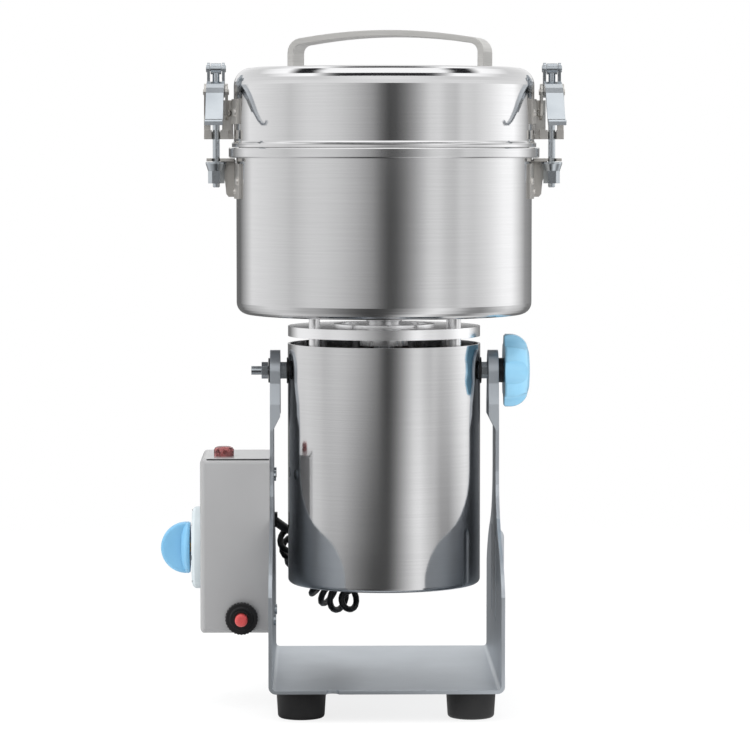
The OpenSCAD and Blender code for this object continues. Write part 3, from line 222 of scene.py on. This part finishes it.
MATERIALS = {
    # Stainless sheet, belt-brushed round the form: fine level lines soften long upright reflections.
    "brushed_bowl": brushed_steel("brushed_stainless_bowl", "#D7D7D8", "#DCDCDD", 0.12, 0.6, 70, 0.022),
    "brushed_housing": brushed_steel("brushed_stainless_housing", "#D2D2D3", "#D7D7D8", 0.11, 0.6, 80, 0.018),
    # The same sheet, polished after brushing: sharper reflections, lines only just seen.
    "polished_lid": brushed_steel("polished_stainless_lid", "#DCDCDD", "#E1E1E2", 0.08, 0.6, 80, 0.014),
    # Flat stainless bar with a satin finish: wide soft highlights along its edges.
    "satin_handle": brushed_steel("satin_stainless_bar", "#D4D3D0", "#DEDDDA", 0.40, 0.8, 40, 0.05, edge=0.0012),
    # Zinc-plated sheet with a satin finish: a cool grey that takes soft light.
    "satin_sheet": plated_metal("satin_zinc_sheet", "#C0C6CC", "#C7CDD3", 0.42, 0.8, 0.04, edge=0.0006),
    # Bright zinc on turned and pressed small parts: crisp light and dark edges.
    "bright_zinc": plated_metal("bright_zinc_plate", "#B4BAC0", "#C8CED3", 0.20, 0.7, 0.12),
    # Pressed stainless catches, left as pressed: warmer and duller than the plated levers.
    "pressed_steel": plated_metal("pressed_stainless_catch", "#D2CFCA", "#DEDBD6", 0.36, 0.8, 0.15),
    # Aluminium turned on a lathe: bright, with fine turning lines.
    "turned_aluminium": brushed_steel("turned_aluminium", "#F6F6F7", "#FAFAFB", 0.20, 0.6, 40, 0.05),
    # Hardened steel, ground: plain grey with a fine tooth.
    "ground_steel": plated_metal("ground_steel", "#B8BABD", "#D0D2D5", 0.25, 0.6, 0.15),
    # Thin iron sheets in a stack: close level lines at their edges.
    "stacked_iron": brushed_steel("stacked_iron_sheets", "#3A3C40", "#56585C", 0.45, 0.7, 200, 0.6),
    # Enamelled winding wire: warm copper with close lines.
    "enamelled_copper": brushed_steel("enamelled_copper_wire", "#8E4A22", "#B86A38", 0.30, 0.8, 120, 0.7),
    # Brass turned from bar: warm and slightly dulled.
    "turned_brass": plated_metal("turned_brass", "#B8954A", "#CDAA5C", 0.28, 0.7, 0.15),
    # Pressed carbon for the brushes: dead black.
    "pressed_carbon": moulded_plastic("pressed_carbon", "#121213", "#1C1C1E", 0.62, 0.5, 0.3),
    # Powder coat on the box: light neutral grey with a soft gloss.
    "grey_paint": powder_coat("grey_powder_coat", "#9C9C9D", "#A1A1A2", 0.30),
    # Polystyrene dial: pale, faintly blue.
    "pale_plastic": moulded_plastic("pale_moulded_polystyrene", "#C0CACE", "#C8D1D5", 0.40, 0.6, 0.1),
    # Glossy blue lock knob: smooth, with rounded lobes that catch the light. Its blue is lighter than the timer
    # knob's, which is the same plastic, as painted light.
    "blue_plastic": moulded_plastic(
        "blue_plastic_painted_light", "#8FCAEA", "#98D0EE", 0.24, 0.8, 0.06, coat=0.35, edge=0.0012),
    # The timer's knob, the same plastic as the lock knob, painted a deeper blue as painted shade, and less glossy.
    "shaded_blue_plastic": moulded_plastic(
        "blue_plastic_painted_shade", "#74AED2", "#7CB5D8", 0.36, 0.8, 0.08, coat=0.1, edge=0.0008),
    # Clear red lens of the lamp: bumped facets with a sharp highlight; their dark and light red is painted glint and
    # shade.
    "red_lens": lens_plastic("clear_red_polycarbonate_painted_glints", "#642828", "#C07070"),
    # Red push button: smooth and a little glossy.
    "red_plastic": moulded_plastic("red_moulded_plastic", "#C44848", "#D05654", 0.28, 0.8, 0.1, coat=0.2),
    # Black glass-filled nylon: matt, with a fine tooth.
    "black_plastic": moulded_plastic("black_glass_filled_nylon", "#141416", "#1D1D1F", 0.40, 0.7, 0.12, edge=0.0004),
    # Grey moulded case of the timer, inside the box.
    "grey_plastic": moulded_plastic("grey_moulded_case", "#6A6B6E", "#76777A", 0.45, 0.7, 0.2),
    # Posts and hub turned and bright-nickelled: near white, with crisp light along them.
    "pale_nickel": plated_metal("bright_nickelled_bar", "#F8F8F9", "#FCFCFD", 0.30, 0.6, 0.03),
    # Natural nylon terminal block: off white.
    "white_nylon": moulded_plastic("natural_nylon", "#E0DDD4", "#ECE9E2", 0.45, 0.7, 0.15),
    # Moulded rubber feet and seal: dull black.
    "foot_rubber": moulded_plastic("black_moulded_rubber", "#171718", "#202021", 0.56, 0.6, 0.2, edge=0.0008),
    # Cast silicone gasket: pale and matt.
    "silicone": moulded_plastic("pale_cast_silicone", "#D6D2C8", "#DFDBD2", 0.50, 0.7, 0.1),
    # Extruded PVC sheath: black with a soft shine along the curls.
    "cord_sheath": moulded_plastic("black_extruded_sheath", "#101012", "#1A1A1C", 0.34, 0.9, 0.15),
    # Pad-printed ink of the dial's marks: flat dark grey.
    "dial_ink": moulded_plastic("dark_printed_ink", "#2A2D30", "#34373A", 0.50, 0.5, 0.05),
}

FINISH = {
    "brushed_bowl": ["bowl"],
    "brushed_housing": ["housing"],
    "polished_lid": ["lid", "lid_liner"],
    "satin_handle": ["handle"],
    "satin_sheet": ["stand"],
    "bright_zinc": [
        "lever_left", "lever_right", "draw_rod_left", "draw_rod_right", "draw_nut_left", "draw_nut_right",
        "pivot_studs", "pivot_nuts", "box_screws", "foot_screws"],
    "pressed_steel": ["latch_base_left", "latch_base_right", "bowl_lug_left", "bowl_lug_right"],
    "turned_aluminium": ["top_disc", "lower_bracket"],
    "pale_nickel": ["posts", "hub"],
    "ground_steel": ["shaft", "bearings", "blade_spacers", "blade_nut", "blade_lower", "blade_upper"],
    "stacked_iron": ["stator", "armature"],
    "enamelled_copper": ["field_coils", "commutator"],
    "turned_brass": ["brush_holders", "timer_shaft"],
    "pressed_carbon": ["brushes"],
    "grey_paint": ["control_box"],
    "pale_plastic": ["dial_plate"],
    "blue_plastic": ["lock_knob"],
    "shaded_blue_plastic": ["timer_knob"],
    "red_lens": ["lamp_lens"],
    "red_plastic": ["reset_button"],
    "black_plastic": [
        "breaker_ring", "breaker_body", "lamp_body", "cord_gland", "motor_gland", "mains_gland",
        "leg_bushes", "pivot_spacers", "fan"],
    "grey_plastic": ["timer_body"],
    "white_nylon": ["terminal_block"],
    "foot_rubber": ["feet", "bowl_seal"],
    "silicone": ["lid_gasket"],
    "cord_sheath": ["curly_cord"],
}
for finish, names in FINISH.items():
    for name in names:
        nodes[name].data.materials.clear()
        nodes[name].data.materials.append(MATERIALS[finish])


# Curly cord between the gland in the left leg and the gland under the motor.
CORD_D = 0.0044
CURL_D = 0.0234  # across a curl, over its outside
CURLS = 11
CURL_POINTS = 16  # points of the centre line in each curl
OPENING_CURLS = 1.6  # over so many curls at each end the winding reaches its full width
SLOW_CURLS = 2.0  # and over so many its full rate of turning
SLOWEST = 0.1  # the share of that rate at the very ends
WINDING_START = 0.85  # where the winding starts and ends, counted in the route's points
WINDING_END = 9.5
ROUTE_STEP = 0.02  # a step so long to either side gives the route's direction
# The route that the winding follows, in millimetres from the bowl's axis.
CORD_ROUTE = [
    (-69.2, 36, 115), (-65, 40, 111.5), (-63.5, 48, 105.5), (-61.5, 55, 97.5), (-57, 60, 89), (-51, 61.5, 80.5),
    (-43.5, 58.5, 72), (-35.5, 52, 66), (-28, 43, 64.5), (-23, 34.5, 68.5), (-22, 30, 77)]


def route_point(u):
    """A point on the smooth curve through the route, in millimetres from the bowl's axis."""
    last = len(CORD_ROUTE) - 1
    k = min(int(u), last - 1)
    t = u - k
    a, b, c, d = (Vector(CORD_ROUTE[i]) for i in (max(k - 1, 0), k, k + 1, min(k + 2, last)))
    return 0.5 * (2 * b + (c - a) * t + (2 * a - 5 * b + 4 * c - d) * t ** 2 + (3 * b - a - 3 * c + d) * t ** 3)


def ease(t):
    """Rises smoothly from 0 at 0 to 1 at 1."""
    t = max(0.0, min(1.0, t))
    return t * t * (3 - 2 * t)


def from_ends(s, curls):
    """0 at both ends of the winding and 1 from so many curls inwards; s is the share of the way along it."""
    return min(ease(s * CURLS / curls), ease((1 - s) * CURLS / curls))


def cord_points():
    """The cord's centre line: straight ends, and curls round the route, which start and end slowly."""
    steps = CURLS * CURL_POINTS
    turned = [0.0]
    for i in range(steps):
        turned.append(turned[-1] + SLOWEST + (1 - SLOWEST) * from_ends((i + 0.5) / steps, SLOW_CURLS))
    first, last = Vector(CORD_ROUTE[0]), Vector(CORD_ROUTE[-1])
    points = [first, first + CORD_D / MM * (Vector(CORD_ROUTE[1]) - first).normalized()]
    for i in range(1, steps):
        s = i / steps
        u = WINDING_START + (WINDING_END - WINDING_START) * s
        along = (route_point(u + ROUTE_STEP) - route_point(u - ROUTE_STEP)).normalized()
        side = along.cross(Vector((0, 1, 0))).normalized()
        other = along.cross(side)
        radius = (CURL_D - CORD_D) / 2 / MM * from_ends(s, OPENING_CURLS)
        angle = -2 * math.pi * (CURLS / 2 + (turned[i] - turned[-1] / 2) / CURL_POINTS)
        points.append(route_point(u) + radius * (side * math.cos(angle) + other * math.sin(angle)))
    points.append(last)
    return [p * MM + Vector((AXIS_X, 0, 0)) for p in points]


def select_only(piece):
    """Selects this piece alone and makes it the active one."""
    bpy.ops.object.select_all(action="DESELECT")
    piece.select_set(True)
    bpy.context.view_layer.objects.active = piece


def open_evenly(cord, points):
    """Shares the head's turn by the way along the cord, not by the straight line between its ends.

    Its curls then open evenly, as a spring's do, and aren't sheared. Both straight ends stay with their glands."""
    runs = [0.0]
    for a, b in zip(points[1:-1], points[2:-1]):
        runs.append(runs[-1] + (b - a).length)
    shares = [0.0, *(run / runs[-1] for run in runs), 1.0]
    near = KDTree(len(points))
    for i, point in enumerate(points):
        near.insert(point, i)
    near.balance()
    for vertex, turn in zip(cord.data.vertices, cord.data.attributes["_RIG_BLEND"].data):
        turn.value = shares[near.find(vertex.co)[1]]


def add_curly_cord():
    """Makes the cord as a tube along its centre line and spreads the head's turn over it."""
    points = cord_points()
    curve = bpy.data.curves.new("coiled_cord", "CURVE")
    curve.dimensions = "3D"
    curve.bevel_depth = CORD_D / 2
    curve.bevel_resolution = 3
    curve.resolution_u = 2
    curve.use_fill_caps = True
    spline = curve.splines.new("POLY")
    spline.points.add(len(points) - 1)
    for point, place in zip(spline.points, points):
        point.co = (*place, 1.0)
    cord = bpy.data.objects.new("coiled_cord", curve)
    bpy.context.scene.collection.objects.link(cord)
    curve.materials.append(MATERIALS["cord_sheath"])
    select_only(cord)
    bpy.ops.object.convert(target="MESH")
    bpy.ops.object.shade_smooth()
    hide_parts("curly_cord")
    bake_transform(cord, "stand", "head", start=tuple(points[0]), end=tuple(points[-1]))
    open_evenly(cord, points)


add_curly_cord()


# Fine pieces on the control box
# The seam strip is black rubber: painted shadow in the gap between the box's front panel and its top.
SEAM_SIDE = 0.0011
SEAM_BEVEL = 0.0003
SEAM_GAP_BOX = 0.0045  # the seam ends so far from the box's outer face
SEAM_GAP_LEG = 0.0003  # and so far from the leg
SEAM_IN = 0.00135  # its middle lies so far behind the box's front
SEAM_DOWN = 0.00095  # and so far below its top
LINE_SIZE = (0.0002, 0.0006, 0.0030)
LINE_BEVEL = 0.00006
LINE_RING = 0.0205  # the radii that the dial's lines and numbers stand on
NUMBER_RING = 0.0249
NUMBER_SIZE = 0.0042
INK_THICK = 0.00015
INK_IN = 0.0001  # the numbers' middle lies so far inside the dial's face
MINUTE_TURN = 10  # degrees for each minute on the dial
LINE_MINUTES = 2.5
LINES = 13
NUMBER_MINUTES = 5
NUMBERS = 7


def finish_piece(piece, name, finish, body):
    """Names a new piece, leaves it at the origin unturned, and gives it its finish and its body."""
    piece.name = name
    select_only(piece)
    bpy.ops.object.transform_apply(location=True, rotation=True, scale=True)
    piece.data.materials.clear()
    piece.data.materials.append(MATERIALS[finish])
    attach(piece, body)


def add_box_seam():
    """A black strip on the rounded edge between the box's front panel and its top: a dark piece put in the joint's gap
    as painted shadow.
    """
    bpy.ops.object.select_all(action="DESELECT")
    x0 = AXIS_X - BOX_OUT + SEAM_GAP_BOX
    x1 = AXIS_X - LEG_OUT - SEAM_GAP_LEG
    bpy.ops.mesh.primitive_cube_add(size=1, location=((x0 + x1) / 2, -BOX_HALF + SEAM_IN, BOX_TOP - SEAM_DOWN))
    shadow_strip = bpy.context.object
    bpy.ops.object.mode_set(mode="EDIT")
    bpy.ops.transform.resize(value=(x1 - x0, SEAM_SIDE, SEAM_SIDE))
    bpy.ops.mesh.bevel(offset=SEAM_BEVEL, segments=3, affect="EDGES")
    bpy.ops.object.mode_set(mode="OBJECT")
    finish_piece(shadow_strip, "box_seam_painted_shadow", "foot_rubber", "stand")


def add_dial_marks():
    """Minute lines and numbers round the timer's dial, printed on its outer face."""
    face = AXIS_X - BOX_OUT - DIAL_THICK
    bpy.ops.object.select_all(action="DESELECT")
    bpy.ops.mesh.primitive_cube_add(size=1, location=(face, 0, DIAL_Z + LINE_RING))
    line = bpy.context.object
    bpy.ops.object.mode_set(mode="EDIT")
    bpy.ops.transform.resize(value=LINE_SIZE)
    bpy.ops.mesh.bevel(offset=LINE_BEVEL, segments=2, affect="EDGES")
    bpy.ops.object.mode_set(mode="OBJECT")
    for i in range(LINES):
        turn = math.radians(MINUTE_TURN * LINE_MINUTES * i)
        mark = line.copy()
        mark.data = line.data.copy()
        bpy.context.scene.collection.objects.link(mark)
        spot = Vector((face, -LINE_RING * math.sin(turn), DIAL_Z + LINE_RING * math.cos(turn)))
        mark.matrix_world = Matrix.Translation(spot) @ Matrix.Rotation(turn, 4, "X")
        finish_piece(mark, "dial_line_%02d" % i, "dial_ink", "stand")
    bpy.data.objects.remove(line)
    reading = Matrix(((0, 0, -1), (-1, 0, 0), (0, 1, 0))).to_euler()
    for i in range(NUMBERS):
        minutes = NUMBER_MINUTES * i
        turn = math.radians(MINUTE_TURN * minutes)
        spot = (face + INK_IN, -NUMBER_RING * math.sin(turn), DIAL_Z + NUMBER_RING * math.cos(turn))
        bpy.ops.object.text_add(location=spot, rotation=reading)
        number = bpy.context.object
        number.data.body = str(minutes)
        number.data.size = NUMBER_SIZE
        number.data.extrude = INK_THICK
        number.data.align_x = "CENTER"
        number.data.align_y = "CENTER"
        select_only(number)
        bpy.ops.object.convert(target="MESH")
        finish_piece(bpy.context.object, "dial_number_%02d" % minutes, "dial_ink", "stand")


add_box_seam()
add_dial_marks()


# Floor, world and lamps
# Brightness round the object as grey levels, from behind, past its left, front and right, to behind.
STUDIO_BANDS = [
    (-180, 95), (-152, 92), (-138, 165), (-126, 214), (-104, 206), (-84, 193), (-77, 184), (-66, 196), (-60, 201),
    (-48, 200), (-35, 190), (-22, 170), (-10, 138), (-3.4, 97), (2.5, 60), (8, 68), (15, 104), (21.6, 140),
    (28, 172), (34, 198), (41, 203), (48, 186), (55, 180), (61, 199), (72, 196), (86, 215), (104, 243), (116, 246),
    (128, 205), (142, 140), (156, 120), (180, 95)]
# The same round a lower view, where the motor housing looks.
LOW_BANDS = [
    (-180, 95), (-150, 100), (-130, 175), (-104, 206), (-84, 196), (-68, 172), (-54, 162), (-42, 138), (-34, 118),
    (-26, 98), (-18, 78), (-11, 66), (-4, 68), (2, 74), (6, 86), (12, 120), (18, 155), (24, 184), (30, 208),
    (36, 228), (42, 234), (48, 220), (54, 202), (60, 184), (70, 140), (82, 130), (96, 180), (112, 215), (130, 190),
    (150, 110), (180, 95)]
# And above it, by how steeply a direction rises: 0 is level and 1 is straight up. The dark strip shows on the lid.
STUDIO_ABOVE = [
    (0.0, "#D4D4D4"), (1.0, "#F0F0F0"), (0.16, "#D0D0D0"), (0.38, "#C8C8C8"), (0.52, "#C4C4C4"),
    (0.64, "#E8E8E8"), (0.74, "#F6F6F6"), (0.80, "#1C1C1E"), (0.86, "#1C1C1E"), (0.90, "#F0F0F0")]
TO_ABOVE = (0.035, 0.10)  # between these rises the round view passes into the view above
TO_LOW = (-0.050, -0.115)  # and between these into the lower one
STUDIO_LIGHT = 1.45
EVEN_LIGHT = (0.54, 1.75)  # on dull surfaces, level with the object and straight above it
FLOOR_R = 1.1
FLOOR_Z = -0.0002  # a hair below the feet
FLOOR_LIGHT = 1.30  # of the low panels, as the metal sees them in the floor
FLOOR_WHITE = 1.02  # the plain white that the camera sees in it
FLOOR_FADE = (0.20, 0.50)  # between these distances from the middle that white covers the shadow
WHITE_SHARE = (0.80, 1.0)  # by this much, near the object and far from it


def grey_stops(bands):
    """Colour stops over a whole turn from pairs of degrees and grey levels."""
    return [((degrees + 180) / 360, "#%02X%02X%02X" % (grey, grey, grey)) for degrees, grey in bands]


def rise_and_turn(tree, direction):
    """How steeply a direction rises, and the share of a whole turn that it lies at, from behind to behind."""
    axes = add_node(tree, "ShaderNodeSeparateXYZ", links=[(direction, "Vector")])
    back = add_node(tree, "ShaderNodeMath", {1: -1.0}, [(axes.outputs["Y"], 0)], operation="MULTIPLY")
    angle = add_node(tree, "ShaderNodeMath", links=[(axes.outputs["X"], 0), (back.outputs[0], 1)], operation="ARCTAN2")
    turn = add_node(
        tree, "ShaderNodeMapRange", {"From Min": -math.pi, "From Max": math.pi}, [(angle.outputs[0], "Value")])
    return axes.outputs["Z"], turn.outputs["Result"]


def add_floor():
    """A white floor that keeps a faint shadow; in the metal it carries the studio's low panels."""
    bpy.ops.mesh.primitive_circle_add(vertices=96, radius=FLOOR_R, fill_type="NGON", location=(0, 0, FLOOR_Z))
    floor = bpy.context.object
    floor.name = "floor"
    material, tree, shader = new_material("white_floor", Roughness=0.9)
    shader.inputs["Base Color"].default_value = srgb("#F4F4F4")
    shown = add_node(tree, "ShaderNodeEmission", {"Color": srgb("#FFFFFF"), "Strength": FLOOR_WHITE})
    path = add_node(tree, "ShaderNodeLightPath")
    place = add_node(tree, "ShaderNodeTexCoord").outputs["Object"]
    reach = add_node(tree, "ShaderNodeVectorMath", links=[(place, 0)], operation="LENGTH")
    fade = add_node(
        tree, "ShaderNodeMapRange",
        {"From Min": FLOOR_FADE[0], "From Max": FLOOR_FADE[1], "To Min": WHITE_SHARE[0], "To Max": WHITE_SHARE[1]},
        [(reach.outputs["Value"], "Value")])
    share = add_node(
        tree, "ShaderNodeMath", links=[(path.outputs["Is Camera Ray"], 0), (fade.outputs[0], 1)], operation="MULTIPLY")
    mix = add_node(
        tree, "ShaderNodeMixShader", links=[(share.outputs[0], 0), (shader.outputs[0], 1), (shown.outputs[0], 2)])
    _, turn = rise_and_turn(tree, place)
    low = add_node(tree, "ShaderNodeValToRGB", links=[(turn, "Fac")], stops=grey_stops(LOW_BANDS))
    panel = add_node(tree, "ShaderNodeEmission", {"Strength": FLOOR_LIGHT}, [(low.outputs["Color"], "Color")])
    metal = add_node(
        tree, "ShaderNodeMixShader",
        links=[(path.outputs["Is Glossy Ray"], 0), (mix.outputs[0], 1), (panel.outputs[0], 2)])
    output = tree.nodes["Material Output"]
    tree.links.new(metal.outputs[0], output.inputs["Surface"])
    floor.data.materials.append(material)


def add_world():
    """Plain white to the camera, even light on dull surfaces, and upright studio panels in the metal."""
    world = bpy.data.worlds.new("studio")
    bpy.context.scene.world = world
    world.use_nodes = True
    tree = world.node_tree
    tree.nodes.clear()
    place = add_node(tree, "ShaderNodeTexCoord")
    steep, turn = rise_and_turn(tree, place.outputs["Generated"])
    bands = add_node(tree, "ShaderNodeValToRGB", links=[(turn, "Fac")], stops=grey_stops(STUDIO_BANDS))
    low = add_node(tree, "ShaderNodeValToRGB", links=[(turn, "Fac")], stops=grey_stops(LOW_BANDS))
    sink = add_node(
        tree, "ShaderNodeMapRange", {"From Min": TO_LOW[0], "From Max": TO_LOW[1]}, [(steep, "Value")])
    sides = add_node(
        tree, "ShaderNodeMix",
        links=[(sink.outputs[0], 0), (bands.outputs["Color"], 6), (low.outputs["Color"], 7)], data_type="RGBA")
    rise = add_node(
        tree, "ShaderNodeMapRange", {"From Min": TO_ABOVE[0], "From Max": TO_ABOVE[1]}, [(steep, "Value")])
    above = add_node(tree, "ShaderNodeValToRGB", links=[(steep, "Fac")], stops=STUDIO_ABOVE)
    sky = add_node(
        tree, "ShaderNodeMix", links=[(rise.outputs[0], 0), (sides.outputs[2], 6), (above.outputs["Color"], 7)],
        data_type="RGBA")
    glossy = add_node(tree, "ShaderNodeBackground", {"Strength": STUDIO_LIGHT}, [(sky.outputs[2], "Color")])
    soft = add_node(
        tree, "ShaderNodeMapRange", {"To Min": EVEN_LIGHT[0], "To Max": EVEN_LIGHT[1]}, [(steep, "Value")])
    even = add_node(tree, "ShaderNodeBackground", {"Color": srgb("#FFFFFF")}, [(soft.outputs[0], "Strength")])
    white = add_node(tree, "ShaderNodeBackground", {"Color": srgb("#FFFFFF"), "Strength": 1.0})
    path = add_node(tree, "ShaderNodeLightPath")
    metal = add_node(tree, "ShaderNodeMixShader", links=[(path.outputs["Is Glossy Ray"], 0)])
    tree.links.new(even.outputs[0], metal.inputs[1])
    tree.links.new(glossy.outputs[0], metal.inputs[2])
    seen = add_node(
        tree, "ShaderNodeMath", links=[(path.outputs["Is Camera Ray"], 0), (path.outputs["Is Transmission Ray"], 1)],
        operation="MAXIMUM")
    shown = add_node(tree, "ShaderNodeMixShader", links=[(seen.outputs[0], 0)])
    tree.links.new(metal.outputs[0], shown.inputs[1])
    tree.links.new(white.outputs[0], shown.inputs[2])
    output = add_node(tree, "ShaderNodeOutputWorld")
    tree.links.new(shown.outputs[0], output.inputs["Surface"])


def add_lamp(name, place, aim, size, power):
    """A square soft box that lights dull surfaces and isn't seen in the metal."""
    data = bpy.data.lights.new(name, "AREA")
    data.shape = "SQUARE"
    data.size = size
    data.energy = power
    lamp = bpy.data.objects.new(name, data)
    lamp.location = place
    lamp.rotation_euler = (Vector(aim) - Vector(place)).to_track_quat("-Z", "Y").to_euler()
    bpy.context.scene.collection.objects.link(lamp)
    lamp.visible_glossy = False


add_floor()
add_world()
# Each lamp's place, aim and size in metres, and its power in watts.
add_lamp("key_lamp", (-2.5, -0.7, 1.9), (0, 0, 0.2), 1.4, 26)
add_lamp("top_lamp", (-0.2, 0.2, 2.8), (0, 0, 0.2), 1.6, 22)
add_lamp("fill_lamp", (1.8, -1.4, 1.6), (0, 0, 0.2), 1.4, 10)

bpy.context.scene.view_settings.view_transform = "Standard"
